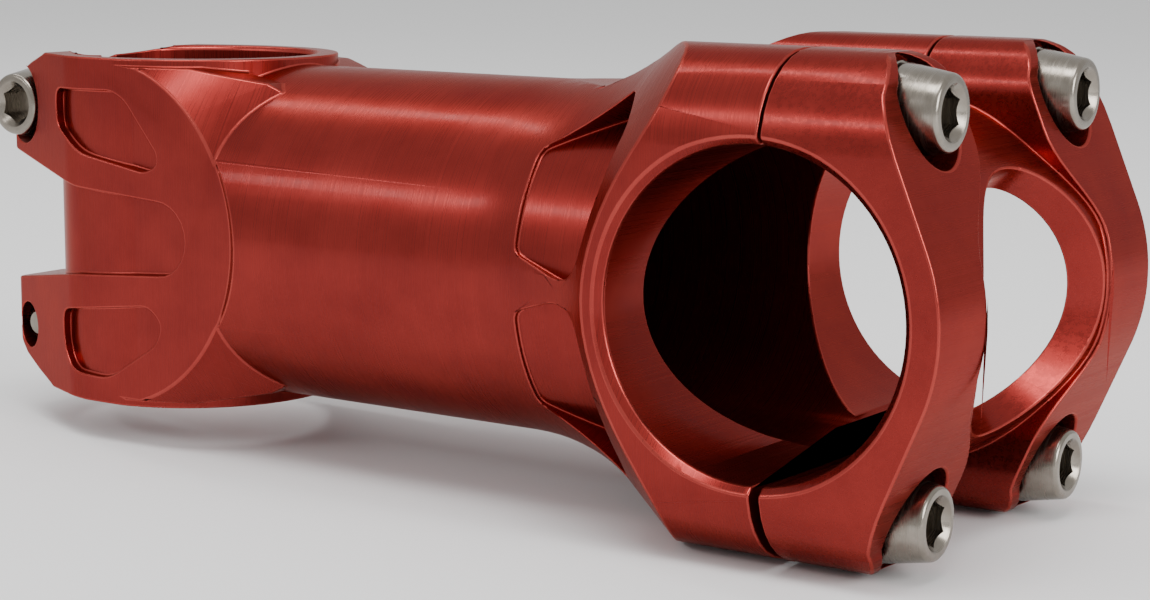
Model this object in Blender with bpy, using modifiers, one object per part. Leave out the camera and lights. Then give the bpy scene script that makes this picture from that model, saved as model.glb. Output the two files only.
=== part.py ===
"""Bicycle handlebar stem: body, faceplate, four faceplate bolts, two opposed pinch bolts and their washers.

Metres, +Z up. The steerer tube's axis is the Z axis, its clamp stands on z = 0, and +X points forward
to the handlebar clamp, whose bore runs along Y.
"""
import math

import bmesh
import bpy
from mathutils import Matrix, Vector

MM = 0.001
NAME = "handlebar_stem"

# Driving dimensions, millimetres
REACH = 90.0                 # steerer axis to bar axis
STACK = 40.0                 # height of the steerer clamp
STEERER_R = 14.3             # bore for a 28.6 mm steerer tube
BAR_R = 15.9                 # bore for a 31.8 mm handlebar
BAR_CLAMP_WIDTH = 50.0
BAR_CLAMP_HALF_HEIGHT = 24.4
AXIS_Z = STACK / 2           # the bar axis and the barrel axis lie at mid height

BARREL_R = 19.1
SHOULDER_START_X = 53.0      # where the barrel starts to flare into the bar clamp
SHOULDER_FILLET_R = 33.5
SHOULDER_ANGLE = 36.0        # half angle, in degrees, of the cone that the flare runs into
BARREL_BORE_R = 16.9
CLAMP_R = 17.0               # outside of the steerer clamp
CLAMP_FLOOR_R = 15.9         # wall left round the steerer bore under the machined recesses
FLAT_Y = 16.8                # machined flats on both sides of the steerer clamp
FLAT_R = 20.0                # edge radius of the flats, about the clamp's middle
FLAT_FLOOR_Y = 15.3

LUG_REAR_X = -22.3
LUG_HALF_WIDTH = 9.5
LUG_CORNER_R = 2.5
SLOT_HALF_WIDTH = 1.1
POCKET_CORNER_R = 1.6
PINCH_X = -18.8
PINCH_HEIGHTS = (33.5, 6.5)  # upper bolt enters from -Y, lower bolt from +Y
PINCH_SEAT_Y = 5.6
PINCH_SPOTFACE_R = 4.7

SHELL_R = 19.0               # outside of the faceplate's webs
ARM_R = 19.6                 # front arc of the faceplate's arms
BODY_SPLIT_X = 0.8           # from here on, X and Z of the bar clamp are measured from the bar axis
FACE_SPLIT_TOP_X = 1.1
FACE_SPLIT_BOTTOM_X = 1.8
BOSS_FRONT_X = 12.5
BOSS_FRONT_CORNER_R = 3.5
BOSS_INNER_Y = 8.0
VALLEY_Z = 19.15             # floor of the channel between the two upper, and the two lower, bosses
ARM_INNER_Y = 15.0
WINDOW_DROP = 0.6            # the window's middle sits this far below the bar axis
BOSS_R = 5.7
CLAMP_CORNER_R = 9.0
BOLT_Y = 15.5
BOLT_Z = 19.0
BOLT_SEAT_X = 9.6
COUNTERBORE_R = 5.2
BORE_CHAMFER = 0.85
STEERER_CHAMFER = 0.4

BOLT_SHANK_R = 2.4
BOLT_LENGTH = 16.0
PINCH_BOLT_LENGTH = 15.6
HEAD_BASE_R = 4.4
HEAD_RIM_R = 3.65
HEAD_HEIGHT = 5.0
HEX_ACROSS_FLATS = 4.0
HEX_DEPTH = 2.6
CLEARANCE_HOLE_R = 2.75
THREAD_HOLE_R = 2.65
THREAD_BOTTOM_X = -5.7
WASHER_R = 4.55
WASHER_HOLE_R = 2.75
WASHER_THICKNESS = 0.7
GAP = 0.25                   # kept between pieces that touch

ROUND_SEGMENTS = 96
HOLE_SEGMENTS = 40
FAR = 60.0                   # longer than anything it cuts

RED = (0.50, 0.035, 0.025, 1.0)
STEEL = (0.62, 0.60, 0.56, 1.0)


def clear_scene():
    for obj in list(bpy.data.objects):
        bpy.data.objects.remove(obj, do_unlink=True)


def new_collection(name):
    collection = bpy.data.collections.new(name)
    bpy.context.scene.collection.children.link(collection)
    return collection


def metal(name, colour, roughness):
    material = bpy.data.materials.new(name)
    material.use_nodes = True
    shader = material.node_tree.nodes["Principled BSDF"]
    shader.inputs["Base Color"].default_value = colour
    shader.inputs["Metallic"].default_value = 1.0
    shader.inputs["Roughness"].default_value = roughness
    material.diffuse_color = colour
    return material


def put_in(obj, collection):
    for old in list(obj.users_collection):
        old.objects.unlink(obj)
    collection.objects.link(obj)


def apply_transform(obj):
    """Bakes location, rotation and scale into the mesh, so Boolean tools line up in world space."""
    obj.data.transform(obj.matrix_basis)
    obj.matrix_basis = Matrix.Identity(4)


def bake(obj):
    """Replaces an object's modifiers and transform by one plain mesh in world space."""
    bpy.context.view_layer.update()
    evaluated = obj.evaluated_get(bpy.context.evaluated_depsgraph_get())
    mesh = bpy.data.meshes.new_from_object(evaluated)
    obj.modifiers.clear()
    obj.data = mesh
    apply_transform(obj)


def centre_of(low, high):
    return [(a + b) / 2 * MM for a, b in zip(low, high)]


def box(name, low, high):
    bpy.ops.mesh.primitive_cube_add(size=1.0, location=centre_of(low, high))
    obj = bpy.context.object
    obj.name = name
    obj.scale = [(b - a) * MM for a, b in zip(low, high)]
    apply_transform(obj)
    return obj


AXIS_TURN = {
    "X": Matrix(((0, 0, 1, 0), (0, 1, 0, 0), (-1, 0, 0, 0), (0, 0, 0, 1))),
    "Y": Matrix(((1, 0, 0, 0), (0, 0, 1, 0), (0, -1, 0, 0), (0, 0, 0, 1))),
    "Z": Matrix.Identity(4),
}


def cone(name, axis, centre, start, end, radius_start, radius_end, segments=ROUND_SEGMENTS):
    """A round solid about an axis-parallel line through centre, from start to end along the axis."""
    bpy.ops.mesh.primitive_cone_add(
        vertices=segments, radius1=radius_start * MM, radius2=radius_end * MM, depth=(end - start) * MM
    )
    obj = bpy.context.object
    obj.name = name
    place = Vector(centre)
    place["XYZ".index(axis)] = (start + end) / 2
    obj.matrix_basis = Matrix.Translation(place * MM) @ AXIS_TURN[axis]
    apply_transform(obj)
    return obj


def cylinder(name, axis, centre, start, end, radius, segments=ROUND_SEGMENTS):
    return cone(name, axis, centre, start, end, radius, radius, segments)


def hole(name, axis, centre, start, end, radius):
    return cylinder(name, axis, centre, start, end, radius, HOLE_SEGMENTS)


def prism(name, outline, low, high, plane):
    """Extrudes a closed outline in plane XY, XZ or YZ, from low to high along the third axis."""
    curve = bpy.data.curves.new(name, "CURVE")
    curve.dimensions = "2D"
    curve.fill_mode = "BOTH"
    curve.extrude = (high - low) / 2 * MM
    spline = curve.splines.new("POLY")
    spline.points.add(len(outline) - 1)
    for point, (u, v) in zip(spline.points, outline):
        point.co = (u * MM, v * MM, 0.0, 1.0)
    spline.use_cyclic_u = True
    curve_obj = bpy.data.objects.new(name, curve)
    bpy.context.scene.collection.objects.link(curve_obj)
    middle = (low + high) / 2 * MM
    turn = {
        "XY": Matrix.Identity(4),
        "XZ": Matrix(((1, 0, 0, 0), (0, 0, -1, 0), (0, 1, 0, 0), (0, 0, 0, 1))),
        "YZ": Matrix(((0, 0, 1, 0), (1, 0, 0, 0), (0, 1, 0, 0), (0, 0, 0, 1))),
    }[plane]
    shift = {"XY": (0, 0, middle), "XZ": (0, middle, 0), "YZ": (middle, 0, 0)}[plane]
    bpy.context.view_layer.update()
    evaluated = curve_obj.evaluated_get(bpy.context.evaluated_depsgraph_get())
    mesh = bpy.data.meshes.new_from_object(evaluated)
    work = bmesh.new()
    work.from_mesh(mesh)
    bmesh.ops.remove_doubles(work, verts=work.verts, dist=1e-6)
    work.to_mesh(mesh)
    work.free()
    obj = bpy.data.objects.new(name, mesh)
    bpy.context.scene.collection.objects.link(obj)
    obj.matrix_basis = Matrix.Translation(shift) @ turn
    apply_transform(obj)
    bpy.data.objects.remove(curve_obj, do_unlink=True)
    return obj


def arc(centre, radius, start, end, steps):
    """Points on an arc; angles in degrees, anticlockwise from the outline's first axis."""
    points = []
    for step in range(steps + 1):
        angle = math.radians(start + (end - start) * step / steps)
        points.append((centre[0] + radius * math.cos(angle), centre[1] + radius * math.sin(angle)))
    return points


def tangent_angle(point, radius, side):
    """Angle, in degrees, where a line from point touches a circle about the origin; side is +1 or -1."""
    distance = math.hypot(*point)
    return math.degrees(math.atan2(point[1], point[0]) + side * math.acos(radius / distance))


def rounded(outline, radius):
    """Rounds a closed outline's corners, each by no more than half of its shorter side."""
    points, steps = [], 4
    for index, corner in enumerate(outline):
        corner = Vector(corner)
        before = Vector(outline[index - 1]) - corner
        after = Vector(outline[(index + 1) % len(outline)]) - corner
        reach = min(radius, before.length * 0.45, after.length * 0.45)
        first, last = corner + before.normalized() * reach, corner + after.normalized() * reach
        for step in range(steps + 1):
            share = step / steps
            points.append(tuple(first.lerp(corner, share).lerp(corner.lerp(last, share), share)))
    return points


def shifted(outline, dx, dz):
    return [(u + dx, v + dz) for u, v in outline]


def combine(target, tool, operation):
    modifier = target.modifiers.new(f"{operation.lower()}_{tool.name}", "BOOLEAN")
    modifier.operation = operation
    modifier.solver = "EXACT"
    modifier.object = tool
    tool.hide_render = True
    tool.display_type = "WIRE"
    put_in(tool, TOOLS)


def cut(target, *tools):
    for tool in tools:
        combine(target, tool, "DIFFERENCE")


def join(target, *tools):
    for tool in tools:
        combine(target, tool, "UNION")


def keep_common(target, *tools):
    for tool in tools:
        combine(target, tool, "INTERSECT")


def finish(obj, material):
    obj.data.materials.clear()
    obj.data.materials.append(material)
    put_in(obj, PARTS)


# Steerer clamp and barrel


def clamp_outline():
    """Plan view of the steerer clamp: a round front with tangents running back to the two lugs."""
    corner = (LUG_REAR_X, LUG_HALF_WIDTH)
    touch = tangent_angle(corner, CLAMP_R, -1)
    lug_centre = (LUG_REAR_X + LUG_CORNER_R, LUG_HALF_WIDTH - LUG_CORNER_R)
    front = arc((0.0, 0.0), CLAMP_R, -touch, touch, 60)
    upper_corner = arc(lug_centre, LUG_CORNER_R, touch, 180.0, 6)
    lower_corner = [(x, -y) for x, y in reversed(upper_corner)]
    return front + upper_corner + lower_corner


def flare(side):
    """The flared pad that carries one machined flat, running out into the barrel."""
    proud, flare_rise = 0.5, 9.0
    edge, foot = side * (FLAT_Y + proud), side * (FLAT_Y - flare_rise)
    start, end = min(edge, foot), max(edge, foot)
    radius_start, radius_end = FLAT_R - proud, FLAT_R + flare_rise
    if side > 0:
        radius_start, radius_end = radius_end, radius_start
    pad = cone(f"flare_{side:+d}", "Y", (0, 0, AXIS_Z), start, end, radius_start, radius_end)
    upper = [(-2.0, BARREL_R), (12.0, BARREL_R), (20.0, 17.6), (32.0, 11.0)]
    outline = [(x, AXIS_Z + z) for x, z in mirrored_in_z(upper)]
    keep_common(pad, prism(f"flare_limit_{side:+d}", outline, -FAR, FAR, "XZ"))
    return pad


def flat_cut(side):
    """Takes clamp and barrel down to the machined flat, which ends in a sloping wall."""
    margin, rise = 0.2, 12.0
    start, end = sorted((side * FLAT_Y, side * (FLAT_Y + rise)))
    radius_start, radius_end = FLAT_R + margin, FLAT_R + margin + rise
    if side < 0:
        radius_start, radius_end = radius_end, radius_start
    return cone(f"flat_cut_{side:+d}", "Y", (0, 0, AXIS_Z), start, end, radius_start, radius_end)


def side_recess(name, outline):
    """A pocket machined into both flats, down to the wall round the steerer bore."""
    tool = prism(name, outline, -FAR, FAR, "XZ")
    cut(
        tool,
        cylinder(f"{name}_floor", "Z", (0, 0, 0), -FAR, FAR + STACK, CLAMP_FLOOR_R),
        box(f"{name}_front_floor", (0, -FLAT_FLOOR_Y, -FAR), (FAR, FLAT_FLOOR_Y, FAR + STACK)),
    )
    return tool


def rear_notch():
    """The gap between the upper and lower lugs, running forward into the flats."""
    low_mouth, high_mouth, low_waist, high_waist = 12.0, 28.0, 14.8, 25.0
    end_x, end_z, end_r = 9.0, 19.9, 4.2
    outline = [(-FAR, low_mouth), (LUG_REAR_X, low_mouth), (-4.0, low_waist)]
    outline += arc((end_x, end_z), end_r, -90, 90, 12)
    outline += [(-4.0, high_waist), (LUG_REAR_X, high_mouth), (-FAR, high_mouth)]
    return side_recess("rear_notch", outline)


def upper_pocket():
    outline = [(-8.5, 31.9), (-3.0, 29.0), (7.2, 27.3), (9.1, 28.2), (9.1, 29.6), (4.3, 35.4)]
    outline += [(2.3, 36.3), (-8.5, 36.1)]
    return side_recess("upper_pocket", rounded(outline, POCKET_CORNER_R))


def lower_pocket():
    outline = [(-7.9, 5.9), (-5.6, 3.2), (0.9, 3.0), (8.6, 7.7), (9.5, 10.1), (7.5, 12.0)]
    outline += [(-4.0, 10.7), (-7.9, 10.1)]
    return side_recess("lower_pocket", rounded(outline, POCKET_CORNER_R))


def lug_corners():
    """Cuts that round the top and bottom of the lugs away behind the clamp ring."""
    top = [(-FAR, STACK + 5), (-9.5, STACK + 5), (-9.5, STACK + 0.8), (-12.5, 39.7), (-16.0, 38.6)]
    top += [(-19.6, 37.2), (-21.6, 35.6), (-22.7, 33.8), (-FAR, 33.8)]
    bottom = [(x, STACK - z) for x, z in reversed(top)]
    return [prism("lug_top_slope", top, -FAR, FAR, "XZ"), prism("lug_bottom_slope", bottom, -FAR, FAR, "XZ")]


def spool(name, axis, centre, ends, radius, size):
    """A bore's tool from end to end of the material, with a chamfer of the given size at both ends."""
    low, high = ends
    past = size + 1.0
    profile = [(0.0, high + 1.0), (radius + past, high + 1.0), (radius, high - size), (radius, low + size),
               (radius + past, low - 1.0), (0.0, low - 1.0)]
    tool = turned(name, profile, ROUND_SEGMENTS)
    tool.matrix_basis = Matrix.Translation(Vector(centre) * MM) @ AXIS_TURN[axis]
    bake(tool)
    return tool


def shoulder_profile():
    """Barrel and shoulder as one turned profile: radius and X of each point, front end first."""
    angle = math.radians(SHOULDER_ANGLE)
    cone_start = SHOULDER_START_X + SHOULDER_FILLET_R * math.sin(angle)
    cone_radius = BARREL_R + SHOULDER_FILLET_R * (1 - math.cos(angle))
    front = REACH + BODY_SPLIT_X + 4.0
    front_radius = cone_radius + (front - cone_start) * math.tan(angle)
    fillet_centre = (BARREL_R + SHOULDER_FILLET_R, SHOULDER_START_X)
    fillet = arc(fillet_centre, SHOULDER_FILLET_R, 180.0 - SHOULDER_ANGLE, 180.0, 10)
    return [(0.0, front), (front_radius, front)] + fillet + [(BARREL_R, 0.0), (0.0, 0.0)]


def make_barrel():
    barrel = turned("stem_body", shoulder_profile(), ROUND_SEGMENTS)
    barrel.matrix_basis = Matrix.Translation((0.0, 0.0, AXIS_Z * MM)) @ AXIS_TURN["X"]
    bake(barrel)
    section = prism("clamp_section", clamp_section(), -FAR, REACH + BODY_SPLIT_X, "YZ")
    keep_common(barrel, section)
    return barrel


def barrel_pocket(sign, side):
    """A pocket milled square to the barrel's axis; sign is +1 above the middle rib, side is the Y side."""
    tilt, floor_r = 18.0, 19.5
    rear_x, ring_x = REACH - 29.5, REACH - 15.6
    outline = [(rear_x, -3.2), (rear_x, 7.7), (REACH - 18.6, 13.7), (REACH - 17.8, 13.4)]
    outline += [(REACH - 16.4, 11.4), (ring_x, 9.0)]
    outline += [(REACH - 16.8, 4.2), (REACH - 18.5, -1.6), (REACH - 19.6, -4.7)]
    outline += [(REACH - 21.0, -5.7), (REACH - 23.4, -5.6)]
    outline = rounded([(x, sign * v) for x, v in outline][::sign], 1.0)
    low, high = sorted((side * 2.0, side * FAR))
    label = f"{sign:+d}_{side:+d}"
    tool = prism(f"barrel_pocket_{label}", outline, low, high, "XZ")
    tool.matrix_basis = Matrix.Translation((0, 0, AXIS_Z * MM)) @ Matrix.Rotation(
        math.radians(sign * side * tilt), 4, "X"
    )
    apply_transform(tool)
    cut(tool, cylinder(f"barrel_pocket_floor_{label}", "X", (0, 0, AXIS_Z), 0, FAR + REACH, floor_r))
    return tool


# Bar clamp


def mirrored_in_z(outline):
    """Completes an outline whose points run from top to middle, by its mirror image below the axis."""
    return outline + [(u, -v) for u, v in reversed(outline)]


def face_side_outline():
    """Side view of one faceplate arm: boss top, rounded front corner, and a tangent onto the ring."""
    corner_centre = (BOSS_FRONT_X - BOSS_FRONT_CORNER_R, BAR_CLAMP_HALF_HEIGHT - BOSS_FRONT_CORNER_R)
    corner = arc(corner_centre, BOSS_FRONT_CORNER_R, 90, 0, 6)
    touch = tangent_angle(corner[-1], ARM_R, -1)
    upper = [(FACE_SPLIT_TOP_X, BAR_CLAMP_HALF_HEIGHT)] + corner + arc((0, 0), ARM_R, touch, 0.0, 10)
    return shifted(mirrored_in_z(upper[:-1]), REACH, AXIS_Z)


def boss_outline():
    """Front view of one upper boss, from its outer side over its top to its inner side."""
    outer_y = BAR_CLAMP_WIDTH / 2
    corner_centre = (outer_y - CLAMP_CORNER_R, BAR_CLAMP_HALF_HEIGHT - CLAMP_CORNER_R)
    inner_centre = (BOSS_INNER_Y + BOSS_R, BAR_CLAMP_HALF_HEIGHT - BOSS_R)
    return arc(corner_centre, CLAMP_CORNER_R, 0, 90, 8) + arc(inner_centre, BOSS_R, 90, 180, 10)


def clamp_section():
    """Front view of the whole clamp: four bosses, and the channels between the upper and the lower ones."""
    right = boss_outline() + [(BOSS_INNER_Y, VALLEY_Z)]
    top = right + [(-y, z) for y, z in reversed(right)]
    return [(y, AXIS_Z + z) for y, z in top + [(-y, -z) for y, z in top]]


def boss_section(side, inner_edge):
    """Front view of the two bosses on one side and the plate between them; inner_edge runs down to z = 0."""
    upper = boss_outline() + inner_edge
    section = upper + [(y, -z) for y, z in reversed(upper)]
    return [(side * y, AXIS_Z + z) for y, z in section][::side]


def plate(name, side, outline, inner_edge):
    """One side plate of the bar clamp, shaped by its side outline and its front section together."""
    low, high = sorted((side * (BOSS_INNER_Y - 1.0), side * BAR_CLAMP_WIDTH / 2 * 1.1))
    solid = prism(name, outline, low, high, "XZ")
    section = prism(f"{name}_section", boss_section(side, inner_edge), REACH - FAR, REACH + FAR, "YZ")
    keep_common(solid, section)
    return solid


def arm_inner_edge():
    """The faceplate's arms draw apart round the window: a smooth step from the bosses out to ARM_INNER_Y."""
    step_top, step_low, steps = 16.0, 5.0, 10
    edge = []
    for index in range(steps + 1):
        share = index / steps
        blend = (1 - math.cos(math.pi * share)) / 2
        y = BOSS_INNER_Y + (ARM_INNER_Y - BOSS_INNER_Y) * blend
        edge.append((y, step_top + (step_low - step_top) * share))
    return edge


def bar_axis_cylinder(name, radius, half_length=FAR):
    """A cylinder about the bar's axis, centred on the stem."""
    return cylinder(name, "Y", (REACH, 0, AXIS_Z), -half_length, half_length, radius)


def bar_bore_tool(prefix):
    half_width = BAR_CLAMP_WIDTH / 2
    centre = (REACH, 0, AXIS_Z)
    return spool(f"{prefix}_bar_bore", "Y", centre, (-half_width, half_width), BAR_R, BORE_CHAMFER)


def barrel_bore_tool():
    """The barrel's hollow, which ends in a short cone just ahead of the steerer bore."""
    cone_x, end_x, cone_drop = 24.2, 19.5, 4.0
    profile = [(0.0, REACH + FAR), (BARREL_BORE_R, REACH + FAR), (BARREL_BORE_R, cone_x),
               (BARREL_BORE_R - cone_drop, end_x), (0.0, end_x)]
    tool = turned("barrel_bore", profile, ROUND_SEGMENTS)
    tool.matrix_basis = Matrix.Translation((0.0, 0.0, AXIS_Z * MM)) @ AXIS_TURN["X"]
    bake(tool)
    return tool


def bolt_places():
    """Name, Y and Z of the four faceplate bolts."""
    places = []
    for height, up in (("upper", 1), ("lower", -1)):
        for hand, side in (("left", 1), ("right", -1)):
            places.append((f"{height}_{hand}", side * BOLT_Y, AXIS_Z + up * BOLT_Z))
    return places


def make_body(material):
    body = make_barrel()
    join(body, prism("steerer_clamp", clamp_outline(), 0.0, STACK, "XY"), flare(1), flare(-1))
    cut(body, *[barrel_pocket(sign, side) for sign in (1, -1) for side in (1, -1)])
    cut(body, barrel_bore_tool(), bar_bore_tool("body"))
    cut(body, spool("steerer_bore", "Z", (0, 0, 0), (0.0, STACK), STEERER_R, STEERER_CHAMFER))
    cut(body, flat_cut(1), flat_cut(-1))
    cut(body, rear_notch(), upper_pocket(), lower_pocket(), *lug_corners())
    cut(body, box("clamp_slot", (-FAR, -SLOT_HALF_WIDTH, -FAR), (-10.0, SLOT_HALF_WIDTH, FAR + STACK)))
    for (label, side), height in zip((("upper", -1), ("lower", 1)), PINCH_HEIGHTS):
        centre = (PINCH_X, 0, height)
        seat, outside = sorted((side * PINCH_SEAT_Y, side * FAR))
        cut(body, hole(f"pinch_spotface_{label}", "Y", centre, seat, outside, PINCH_SPOTFACE_R))
        cut(body, hole(f"pinch_hole_{label}", "Y", centre, -FAR, FAR, CLEARANCE_HOLE_R))
    for label, y, z in bolt_places():
        start = REACH + THREAD_BOTTOM_X
        cut(body, hole(f"thread_{label}", "X", (0, y, z), start, REACH + FAR, THREAD_HOLE_R))
    finish(body, material)
    return body


def window_tool():
    """An oval cone about the X direction: the window widens from the bar bore to the front."""
    apex_x, near, far, width_share = REACH + 0.8, 4.0, 24.0, 0.8
    tool = cone("window", "X", (0, 0, AXIS_Z - WINDOW_DROP), apex_x + near, apex_x + far, near, far)
    tool.data.transform(Matrix.Diagonal((1.0, width_share, 1.0, 1.0)))
    return tool


def make_faceplate(material):
    face = bar_axis_cylinder("faceplate", SHELL_R, ARM_INNER_Y + 1.5)
    cut(face, box("web_rear", (-FAR, -FAR, -FAR), (REACH + FACE_SPLIT_TOP_X, FAR, FAR + STACK)))
    for side in (1, -1):
        join(face, plate(f"face_plate_{side:+d}", side, face_side_outline(), arm_inner_edge()))
    cut(face, window_tool())
    cut(face, bar_bore_tool("face"))
    cut(face, box("lower_gap", (-FAR, -FAR, -FAR), (REACH + FACE_SPLIT_BOTTOM_X, FAR, AXIS_Z)))
    for label, y, z in bolt_places():
        centre = (0, y, z)
        seat = REACH + BOLT_SEAT_X
        cut(face, hole(f"counterbore_{label}", "X", centre, seat, seat + FAR, COUNTERBORE_R))
        cut(face, hole(f"bolt_hole_{label}", "X", centre, REACH - FAR, REACH + FAR, CLEARANCE_HOLE_R))
    finish(face, material)
    return face


# Bolts and washers


def turned(name, profile, segments):
    """A solid turned about its own Z axis from a profile that runs from its top down to its foot."""
    mesh = bpy.data.meshes.new(name)
    work = bmesh.new()
    corners = [work.verts.new((radius * MM, 0.0, height * MM)) for radius, height in profile]
    for upper, lower in zip(corners, corners[1:]):
        work.edges.new((upper, lower))
    work.to_mesh(mesh)
    work.free()
    obj = bpy.data.objects.new(name, mesh)
    bpy.context.scene.collection.objects.link(obj)
    screw = obj.modifiers.new("turn", "SCREW")
    screw.axis = "Z"
    screw.steps = screw.render_steps = segments
    screw.use_merge_vertices = True
    screw.merge_threshold = 1e-6
    return obj


def make_bolt(name, length, material):
    """A taper-headed socket bolt: the head's base is at its origin, its head rises along +Z."""
    break_r, tip = 0.35, 0.7
    profile = [(0.0, HEAD_HEIGHT), (HEAD_RIM_R - break_r, HEAD_HEIGHT), (HEAD_RIM_R, HEAD_HEIGHT - break_r),
               (HEAD_BASE_R, 1.0), (HEAD_BASE_R, 0.0), (BOLT_SHANK_R, 0.0), (BOLT_SHANK_R, tip - length),
               (BOLT_SHANK_R - tip, -length), (0.0, -length)]
    bolt = turned(name, profile, HOLE_SEGMENTS)
    hexagon_r = HEX_ACROSS_FLATS / 2 / math.cos(math.pi / 6)
    floor, above = HEAD_HEIGHT - HEX_DEPTH, HEAD_HEIGHT + 1.0
    socket = cylinder(f"{name}_socket", "Z", (0, 0, 0), floor, above, hexagon_r, 6)
    cut(bolt, socket)
    finish(bolt, material)
    return bolt, socket


def make_washer(name, material):
    """A flat washer standing on its origin's plane."""
    profile = [(WASHER_HOLE_R, WASHER_THICKNESS), (WASHER_R, WASHER_THICKNESS), (WASHER_R, 0.0),
               (WASHER_HOLE_R, 0.0), (WASHER_HOLE_R, WASHER_THICKNESS)]
    washer = turned(name, profile, HOLE_SEGMENTS)
    finish(washer, material)
    return washer


def fasten(label, seat, direction, length, material):
    """Places a bolt and its washer: seat is a point in millimetres, direction the way the head faces."""
    turn = Vector(direction).to_track_quat("Z", "Y").to_matrix().to_4x4()
    washer = make_washer(f"washer_{label}", material)
    washer.matrix_basis = Matrix.Translation((Vector(seat) + Vector(direction) * GAP) * MM) @ turn
    bolt, socket = make_bolt(f"bolt_{label}", length, material)
    lift = 2 * GAP + WASHER_THICKNESS
    bolt.matrix_basis = Matrix.Translation((Vector(seat) + Vector(direction) * lift) * MM) @ turn
    socket.matrix_basis = bolt.matrix_basis


clear_scene()
PARTS = new_collection(NAME)
TOOLS = new_collection("cutters")
red_anodised = metal("anodised_red", RED, 0.32)
stainless = metal("stainless_steel", STEEL, 0.25)

make_body(red_anodised)
make_faceplate(red_anodised)
for place, bolt_y, bolt_z in bolt_places():
    fasten(f"face_{place}", (REACH + BOLT_SEAT_X, bolt_y, bolt_z), (1, 0, 0), BOLT_LENGTH, stainless)
for (label, side), height in zip((("upper", -1), ("lower", 1)), PINCH_HEIGHTS):
    pinch_seat = (PINCH_X, side * PINCH_SEAT_Y, height)
    fasten(f"pinch_{label}", pinch_seat, (0, side, 0), PINCH_BOLT_LENGTH, stainless)
TOOLS.hide_render = True
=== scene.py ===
import math

import bmesh
import bpy
from mathutils import Matrix, Vector


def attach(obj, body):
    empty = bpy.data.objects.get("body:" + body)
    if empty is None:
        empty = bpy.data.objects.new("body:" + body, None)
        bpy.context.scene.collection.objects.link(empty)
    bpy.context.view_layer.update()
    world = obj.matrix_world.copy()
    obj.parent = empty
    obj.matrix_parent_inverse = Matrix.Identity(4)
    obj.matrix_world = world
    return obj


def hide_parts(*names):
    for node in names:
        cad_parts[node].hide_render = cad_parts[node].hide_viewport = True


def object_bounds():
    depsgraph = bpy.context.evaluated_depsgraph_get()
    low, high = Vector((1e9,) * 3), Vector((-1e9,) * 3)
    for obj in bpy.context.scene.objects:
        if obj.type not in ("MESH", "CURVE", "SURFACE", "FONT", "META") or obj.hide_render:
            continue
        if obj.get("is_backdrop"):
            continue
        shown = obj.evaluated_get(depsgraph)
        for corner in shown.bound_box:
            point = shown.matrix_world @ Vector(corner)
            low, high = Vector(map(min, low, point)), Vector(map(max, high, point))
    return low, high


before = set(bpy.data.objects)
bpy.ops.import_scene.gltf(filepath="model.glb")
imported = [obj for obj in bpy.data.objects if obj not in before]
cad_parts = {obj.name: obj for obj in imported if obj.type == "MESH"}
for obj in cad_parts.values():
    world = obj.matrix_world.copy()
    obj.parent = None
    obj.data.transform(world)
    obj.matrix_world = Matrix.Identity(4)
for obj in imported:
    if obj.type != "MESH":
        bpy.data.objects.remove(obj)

MM = 0.001

# Fasteners, in millimetres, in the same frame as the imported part
REACH = 90.0                 # steerer axis to bar axis
AXIS_Z = 20.0                # height of the bar axis
BOLT_SEAT_X = 9.6            # the faceplate bolts' seats, ahead of the bar axis
BOLT_Y = 15.5
BOLT_Z = 19.0
PINCH_X = -18.8
PINCH_SEAT_Y = 5.6
PINCH_HEIGHTS = (33.5, 6.5)  # the upper bolt enters from -Y, the lower bolt from +Y
GAP = 0.25                   # kept between pieces that touch
WASHER_R = 4.55
WASHER_HOLE_R = 2.75
WASHER_THICKNESS = 0.7
WASHER_CHAMFER = 0.12
HEAD_BASE_R = 4.4
HEAD_RIM_R = 3.65
HEAD_HEIGHT = 5.0
HEX_ACROSS_FLATS = 4.0
HEX_DEPTH = 2.6
HEX_LEAD = 0.42              # depth of the chamfer round the hexagon's mouth
SHANK_R = 2.4
COLLAR_LENGTH = 1.2          # plain part of the shank under the head
THREAD_TOP = -1.5            # height of the thread's upper end, from the head's base
THREAD_ROOT_R = 2.08
THREAD_RUN_OUT = 1.6         # left without a ridge above the tip
TIP_CONE = 0.7               # how far the cone at the bolt's end narrows
TIP_SETBACK = 0.15           # how much the drawn bolt falls short of its length
CREST_HALF_WIDTH = 0.12
PITCH = 0.8
BOLT_LENGTH = 16.0
PINCH_BOLT_LENGTH = 15.6

# Surface finish of the two machined pieces
EDGE_BREAK = 0.22            # width of the bevel along machined edges, in millimetres
BEVELLED_ANGLE = 34.0        # edges sharper than this are broken
BODY_SMOOTH_ANGLE = 40.0
STEEL_SMOOTH_ANGLE = 32.0
TURN_SEGMENTS = 96
THREAD_SEGMENTS = 48

# The part of the noise's range that the materials use
NOISE_LOW, NOISE_HIGH = 0.3, 0.7

# Texture scales along X, Y and Z, in periods per metre
TURNING_MARKS = (5200.0, 7.0, 7.0)
MILLING_MARKS = (1800.0, 12.0, 1800.0)
EDGE_MARKS = (900.0, 900.0, 900.0)
HEAD_MARKS = (60.0, 60.0, 2400.0)
DYE_BLOTCHES = (140.0, 140.0, 140.0)
STEEL_STAINS = (300.0, 300.0, 300.0)
OXIDE_GRIT = (5200.0, 5200.0, 5200.0)

# Depths of the marks, in metres
TURNING_DEPTH = 0.0000022
MILLING_DEPTH = 0.000005
EDGE_DEPTH = 0.000008
HEAD_DEPTH = 0.000006

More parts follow.
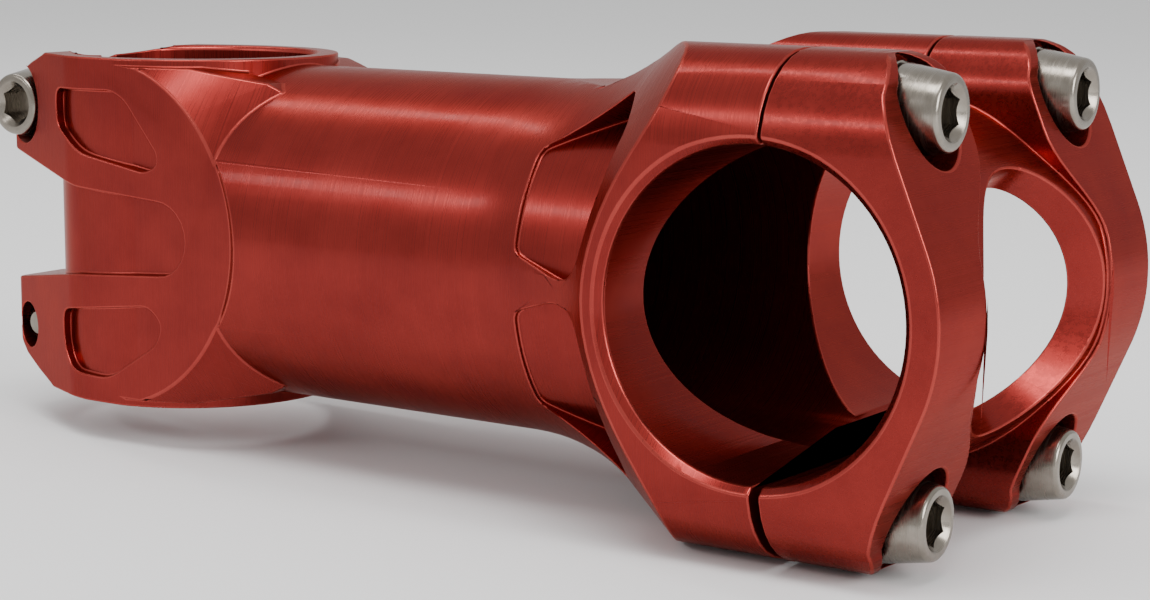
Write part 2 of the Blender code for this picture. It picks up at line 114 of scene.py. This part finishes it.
DARK_RED, LIGHT_RED = (0.185, 0.014, 0.012), (0.24, 0.021, 0.017)
# Lighter reds for the bevels along the machined edges: a painted highlight on every broken edge
DARK_EDGE_HIGHLIGHT, LIGHT_EDGE_HIGHLIGHT = (0.30, 0.032, 0.026), (0.37, 0.050, 0.040)
DARK_STEEL, LIGHT_STEEL = (0.20, 0.175, 0.145), (0.32, 0.29, 0.25)
GRAZING_TINT = (0.72, 0.42, 0.38, 1.0)
FLOOR_GREY = (0.86, 0.86, 0.86, 1)
WHITE = (1, 1, 1, 1)

low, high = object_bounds()


# Materials


class Look:
    """A material whose nodes are wired up by short calls."""

    def __init__(self, name, metallic):
        self.material = bpy.data.materials.new(name)
        self.material.use_nodes = True
        self.tree = self.material.node_tree
        self.shader = self.tree.nodes["Principled BSDF"]
        self.set("Metallic", metallic)

    def set(self, socket, value):
        self.shader.inputs[socket].default_value = value

    def wire(self, source, target):
        self.tree.links.new(source, target)

    def node(self, kind, **inputs):
        """Adds a node and sets its inputs; an underscore stands for a space in an input's name."""
        made = self.tree.nodes.new(kind)
        for key, value in inputs.items():
            made.inputs[key.replace("_", " ")].default_value = value
        return made

    def noise(self, scale, detail, roughness=0.6):
        """Noise in the piece's own space, stretched by a scale per axis."""
        where = self.node("ShaderNodeTexCoord")
        mapping = self.node("ShaderNodeMapping", Scale=scale)
        noise = self.node("ShaderNodeTexNoise", Scale=1.0, Detail=detail, Roughness=roughness)
        self.wire(where.outputs["Object"], mapping.inputs["Vector"])
        self.wire(mapping.outputs["Vector"], noise.inputs["Vector"])
        return noise.outputs["Fac"]

    def spread(self, value, to_low, to_high, socket):
        """Runs one of the shader's inputs between two values as the noise varies."""
        ranged = self.node("ShaderNodeMapRange", From_Min=NOISE_LOW, From_Max=NOISE_HIGH,
                           To_Min=to_low, To_Max=to_high)
        self.wire(value, ranged.inputs["Value"])
        self.wire(ranged.outputs["Result"], self.shader.inputs[socket])

    def tint(self, value, dark, light):
        """Runs the base colour between two colours as the noise varies."""
        ramp = self.node("ShaderNodeValToRGB")
        ends = zip(ramp.color_ramp.elements, (NOISE_LOW, NOISE_HIGH), (dark, light))
        for stop, position, colour in ends:
            stop.position = position
            stop.color = (*colour, 1.0)
        self.wire(value, ramp.inputs["Fac"])
        self.wire(ramp.outputs["Color"], self.shader.inputs["Base Color"])

    def relief(self, value, depth, under=None):
        """Adds a bump of a depth in metres, on top of the bump given as under."""
        bump = self.node("ShaderNodeBump", Strength=1.0, Distance=depth)
        self.wire(value, bump.inputs["Height"])
        if under:
            self.wire(under.outputs["Normal"], bump.inputs["Normal"])
        self.wire(bump.outputs["Normal"], self.shader.inputs["Normal"])
        return bump


def anodised(name, marks_scale, marks_depth, dark, light, smoothest):
    """Dyed anodised aluminium: cutter marks under a clear, slightly blotchy oxide layer."""
    look = Look(name, 0.91)
    marks = look.noise(marks_scale, 5.0, 0.65)
    blotches = look.noise(DYE_BLOTCHES, 6.0)
    grit = look.noise(OXIDE_GRIT, 2.0)
    look.tint(blotches, dark, light)
    look.spread(marks, smoothest, 0.36, "Roughness")
    look.relief(grit, marks_depth / 6, look.relief(marks, marks_depth))
    look.set("Specular Tint", GRAZING_TINT)
    look.set("Coat Weight", 0.12)
    look.set("Coat IOR", 1.6)
    look.spread(blotches, 0.10, 0.24, "Coat Roughness")
    return look.material


def steel(name):
    """Stainless steel with fine marks round the turned heads."""
    look = Look(name, 1.0)
    marks = look.noise(HEAD_MARKS, 4.0)
    look.tint(look.noise(STEEL_STAINS, 5.0), DARK_STEEL, LIGHT_STEEL)
    look.spread(marks, 0.16, 0.34, "Roughness")
    look.relief(marks, HEAD_DEPTH)
    return look.material


turned_red = anodised("anodised_turned", TURNING_MARKS, TURNING_DEPTH, DARK_RED, LIGHT_RED, 0.22)
milled_red = anodised("anodised_milled", MILLING_MARKS, MILLING_DEPTH, DARK_RED, LIGHT_RED, 0.20)
# The bevels' material is lighter than the faces: a painted highlight along the edges
edge_highlight_red = anodised("anodised_edge_highlight", EDGE_MARKS, EDGE_DEPTH, DARK_EDGE_HIGHLIGHT, LIGHT_EDGE_HIGHLIGHT, 0.24)
head_steel = steel("stainless_turned")


# Modelling


def link_new(name, data):
    obj = bpy.data.objects.new(name, data)
    bpy.context.scene.collection.objects.link(obj)
    return obj


def paint(obj, *materials):
    """Gives the piece these materials and puts all its faces in the first."""
    obj.data.materials.clear()
    for material in materials:
        obj.data.materials.append(material)
    for face in obj.data.polygons:
        face.material_index = 0


def smooth(obj, angle):
    """Shades the piece smooth, apart from edges sharper than an angle in degrees."""
    obj.data.shade_smooth()
    obj.data.set_sharp_from_angle(angle=math.radians(angle))


def bake(obj):
    """Replaces an object's modifiers by one plain mesh."""
    bpy.context.view_layer.update()
    evaluated = obj.evaluated_get(bpy.context.evaluated_depsgraph_get())
    mesh = bpy.data.meshes.new_from_object(evaluated)
    obj.modifiers.clear()
    obj.data = mesh


def whole_faces(mesh):
    """Joins the triangles of each flat face back into one face."""
    weld_distance, flat_angle = 4e-6, 0.4
    work = bmesh.new()
    work.from_mesh(mesh)
    bmesh.ops.remove_doubles(work, verts=work.verts, dist=weld_distance)
    bmesh.ops.dissolve_limit(work, angle_limit=math.radians(flat_angle), verts=work.verts, edges=work.edges)
    work.to_mesh(mesh)
    work.free()


def break_edges(piece):
    """Bevels the sharp edges; the bevels take the piece's second material, a lighter red that paints a
    highlight along every edge.
    """
    bevel = piece.modifiers.new("edge_break", "BEVEL")
    bevel.width = EDGE_BREAK * MM
    bevel.segments = 3
    bevel.limit_method = "ANGLE"
    bevel.angle_limit = math.radians(BEVELLED_ANGLE)
    bevel.use_clamp_overlap = False
    bevel.material = 1
    bake(piece)


def machined(node_name, piece_name, body, surface):
    """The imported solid's surface with its edges broken and its round faces shaded smooth."""
    piece = link_new(piece_name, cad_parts[node_name].data.copy())
    whole_faces(piece.data)
    paint(piece, surface, edge_highlight_red)
    break_edges(piece)
    smooth(piece, BODY_SMOOTH_ANGLE)
    piece.modifiers.new("even_normals", "WEIGHTED_NORMAL").keep_sharp = True
    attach(piece, body)
    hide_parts(node_name)


def turned(name, profile, segments=TURN_SEGMENTS, pitch=0.0, turns=1):
    """A surface turned about Z from radius and height points; pitch makes it a helix."""
    mesh = bpy.data.meshes.new(name)
    mesh.from_pydata([(r * MM, 0.0, z * MM) for r, z in profile],
                     [(i, i + 1) for i in range(len(profile) - 1)], [])
    obj = link_new(name, mesh)
    screw = obj.modifiers.new("turn", "SCREW")
    screw.steps = screw.render_steps = segments
    screw.screw_offset = pitch * MM
    screw.iterations = turns
    screw.use_merge_vertices = True
    screw.merge_threshold = 1e-6
    bake(obj)
    return obj


def arc(centre, radius, start, end, steps):
    """Points on an arc, between angles in degrees."""
    points = []
    for step in range(steps + 1):
        angle = math.radians(start + (end - start) * step / steps)
        points.append((centre[0] + radius * math.cos(angle), centre[1] + radius * math.sin(angle)))
    return points


def cone(segments, start, end, radius_start, radius_end):
    """A cone about Z, between two heights in millimetres."""
    bpy.ops.mesh.primitive_cone_add(
        vertices=segments, radius1=radius_start * MM, radius2=radius_end * MM, depth=(end - start) * MM,
        location=(0.0, 0.0, (start + end) / 2 * MM))
    obj = bpy.context.object
    obj.data.transform(obj.matrix_basis)
    obj.matrix_basis = Matrix.Identity(4)
    return obj


def cut(obj, tool):
    """Takes the tool's shape out of the object and removes the tool."""
    modifier = obj.modifiers.new("cut", "BOOLEAN")
    modifier.operation = "DIFFERENCE"
    modifier.solver = "EXACT"
    modifier.object = tool
    bake(obj)
    bpy.data.objects.remove(tool, do_unlink=True)


def finish_steel(piece, body, place):
    """Gives a steel piece its look and its place; body is also the name of the node it stands for."""
    paint(piece, head_steel)
    smooth(piece, STEEL_SMOOTH_ANGLE)
    piece.matrix_basis = place
    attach(piece, body)
    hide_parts(body)


def bolt_head(label, length):
    """A bolt without its thread: tapered head with a rounded rim and a chamfered hexagon socket."""
    rim, foot, end = 0.5, 0.3, TIP_SETBACK - length
    taper = math.degrees(math.atan2(HEAD_BASE_R - HEAD_RIM_R, HEAD_HEIGHT))
    profile = [(0.0, HEAD_HEIGHT)] + arc((HEAD_RIM_R - rim, HEAD_HEIGHT - rim), rim, 90, taper, 6)
    profile += arc((HEAD_BASE_R - foot, foot), foot, taper, -90, 4)
    profile += [(SHANK_R, 0.0), (SHANK_R, -COLLAR_LENGTH), (THREAD_ROOT_R, THREAD_TOP)]
    profile += [(THREAD_ROOT_R, TIP_CONE - length), (THREAD_ROOT_R - TIP_CONE, end), (0.0, end)]
    head = turned(f"head_{label}", profile)
    hexagon_r = HEX_ACROSS_FLATS / 2 / math.cos(math.pi / 6)
    above, past = 1.0, 0.3
    cut(head, cone(6, HEAD_HEIGHT - HEX_DEPTH, HEAD_HEIGHT + above, hexagon_r, hexagon_r))
    cut(head, cone(TURN_SEGMENTS, HEAD_HEIGHT - HEX_LEAD - past, HEAD_HEIGHT + past,
                   hexagon_r - past, hexagon_r + HEX_LEAD + past))
    return head


def bolt_thread(label, length):
    """The helical ridge of a bolt's thread, wound on its root."""
    turns = int((length - TIP_CONE - THREAD_RUN_OUT) / PITCH)
    start = THREAD_TOP - turns * PITCH
    middle = start + PITCH / 2
    tooth = [(THREAD_ROOT_R, start + PITCH), (SHANK_R, middle + CREST_HALF_WIDTH),
             (SHANK_R, middle - CREST_HALF_WIDTH), (THREAD_ROOT_R, start)]
    return turned(f"thread_{label}", tooth, THREAD_SEGMENTS, PITCH, turns - 1)


def washer(label):
    """A flat washer with chamfered edges, standing on its origin's plane."""
    outer, inner, top, chamfer = WASHER_R, WASHER_HOLE_R, WASHER_THICKNESS, WASHER_CHAMFER
    profile = [(inner + chamfer, top), (outer - chamfer, top), (outer, top - chamfer), (outer, chamfer),
               (outer - chamfer, 0.0), (inner + chamfer, 0.0), (inner, chamfer), (inner, top - chamfer),
               (inner + chamfer, top)]
    return turned(f"ring_{label}", profile)


def fasten(label, seat, direction, length):
    """Places a bolt and its washer: seat is a point in millimetres, direction the way the head faces."""
    turn = Vector(direction).to_track_quat("Z", "Y").to_matrix().to_4x4()

    def raised(height):
        return Matrix.Translation((Vector(seat) + Vector(direction) * height) * MM) @ turn

    finish_steel(washer(label), f"washer_{label}", raised(GAP))
    for piece in (bolt_head(label, length), bolt_thread(label, length)):
        finish_steel(piece, f"bolt_{label}", raised(2 * GAP + WASHER_THICKNESS))


machined("stem_body", "machined_body", "stem", turned_red)
machined("faceplate", "machined_faceplate", "faceplate", milled_red)
for height, up in (("upper", 1), ("lower", -1)):
    for hand, side in (("left", 1), ("right", -1)):
        bolt_seat = (REACH + BOLT_SEAT_X, side * BOLT_Y, AXIS_Z + up * BOLT_Z)
        fasten(f"face_{height}_{hand}", bolt_seat, (1, 0, 0), BOLT_LENGTH)
for (height, side), pinch_z in zip((("upper", -1), ("lower", 1)), PINCH_HEIGHTS):
    pinch_seat = (PINCH_X, side * PINCH_SEAT_Y, pinch_z)
    fasten(f"pinch_{height}", pinch_seat, (0, side, 0), PINCH_BOLT_LENGTH)


# Stage, light and camera


def add_floor():
    size, drop = 6, 0.0003
    look = Look("floor", 0.0)
    look.set("Base Color", FLOOR_GREY)
    look.set("Roughness", 0.9)
    bpy.ops.mesh.primitive_plane_add(size=size, location=(0.05, 0, low[2] - drop))
    floor = bpy.context.object
    floor.name = "floor"
    floor.data.materials.append(look.material)
    floor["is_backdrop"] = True


def camera_turn(azimuth, elevation, roll):
    """A camera's rotation from three angles in degrees; azimuth 0 looks along +Y."""
    azimuth, elevation, roll = (math.radians(angle) for angle in (azimuth, elevation, roll))
    back = Vector((math.sin(azimuth) * math.cos(elevation), -math.cos(azimuth) * math.cos(elevation),
                   math.sin(elevation)))
    level_right = Vector((math.cos(azimuth), math.sin(azimuth), 0))
    level_up = back.cross(level_right)
    right = math.cos(roll) * level_right + math.sin(roll) * level_up
    up = math.cos(roll) * level_up - math.sin(roll) * level_right
    return Matrix((right, up, back)).transposed().to_4x4()


def add_camera():
    lens = bpy.data.cameras.new("camera")
    lens.sensor_width = 36
    lens.lens = 76.37
    lens.shift_x = 0.0374
    lens.shift_y = 0.0469
    lens.clip_start = 0.01
    camera = link_new("camera", lens)
    place = Matrix.Translation((0.19966, -0.21766, 0.05616))
    camera.matrix_world = place @ camera_turn(34.67, 10.17, 0.424)
    bpy.context.scene.camera = camera


def softbox(name, place, target, size, energy):
    """A rectangular area light aimed at a point, in metres and watts."""
    light = bpy.data.lights.new(name, "AREA")
    light.energy = energy
    light.shape = "RECTANGLE"
    light.size, light.size_y = size
    holder = link_new(name, light)
    holder.location = place
    holder.rotation_euler = (Vector(target) - Vector(place)).to_track_quat("-Z", "Y").to_euler()


def add_world():
    world = bpy.data.worlds.new("world")
    world.use_nodes = True
    background = world.node_tree.nodes["Background"]
    background.inputs["Color"].default_value = WHITE
    background.inputs["Strength"].default_value = 0.82
    bpy.context.scene.world = world


add_floor()
add_camera()
softbox("overhead", (-0.38, 0.10, 0.70), (0.05, 0.0, 0.02), (0.06, 0.5), 0.9)
softbox("key", (0.15, -0.25, 0.85), (0.05, 0.0, 0.02), (0.5, 0.3), 4.5)
softbox("front_left", (-0.30, -0.60, 0.42), (0.04, 0.0, 0.02), (0.5, 0.05), 0.9)
softbox("right", (0.62, -0.10, 0.25), (0.09, 0.0, 0.02), (0.25, 0.30), 2.4)
add_world()

low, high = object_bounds()
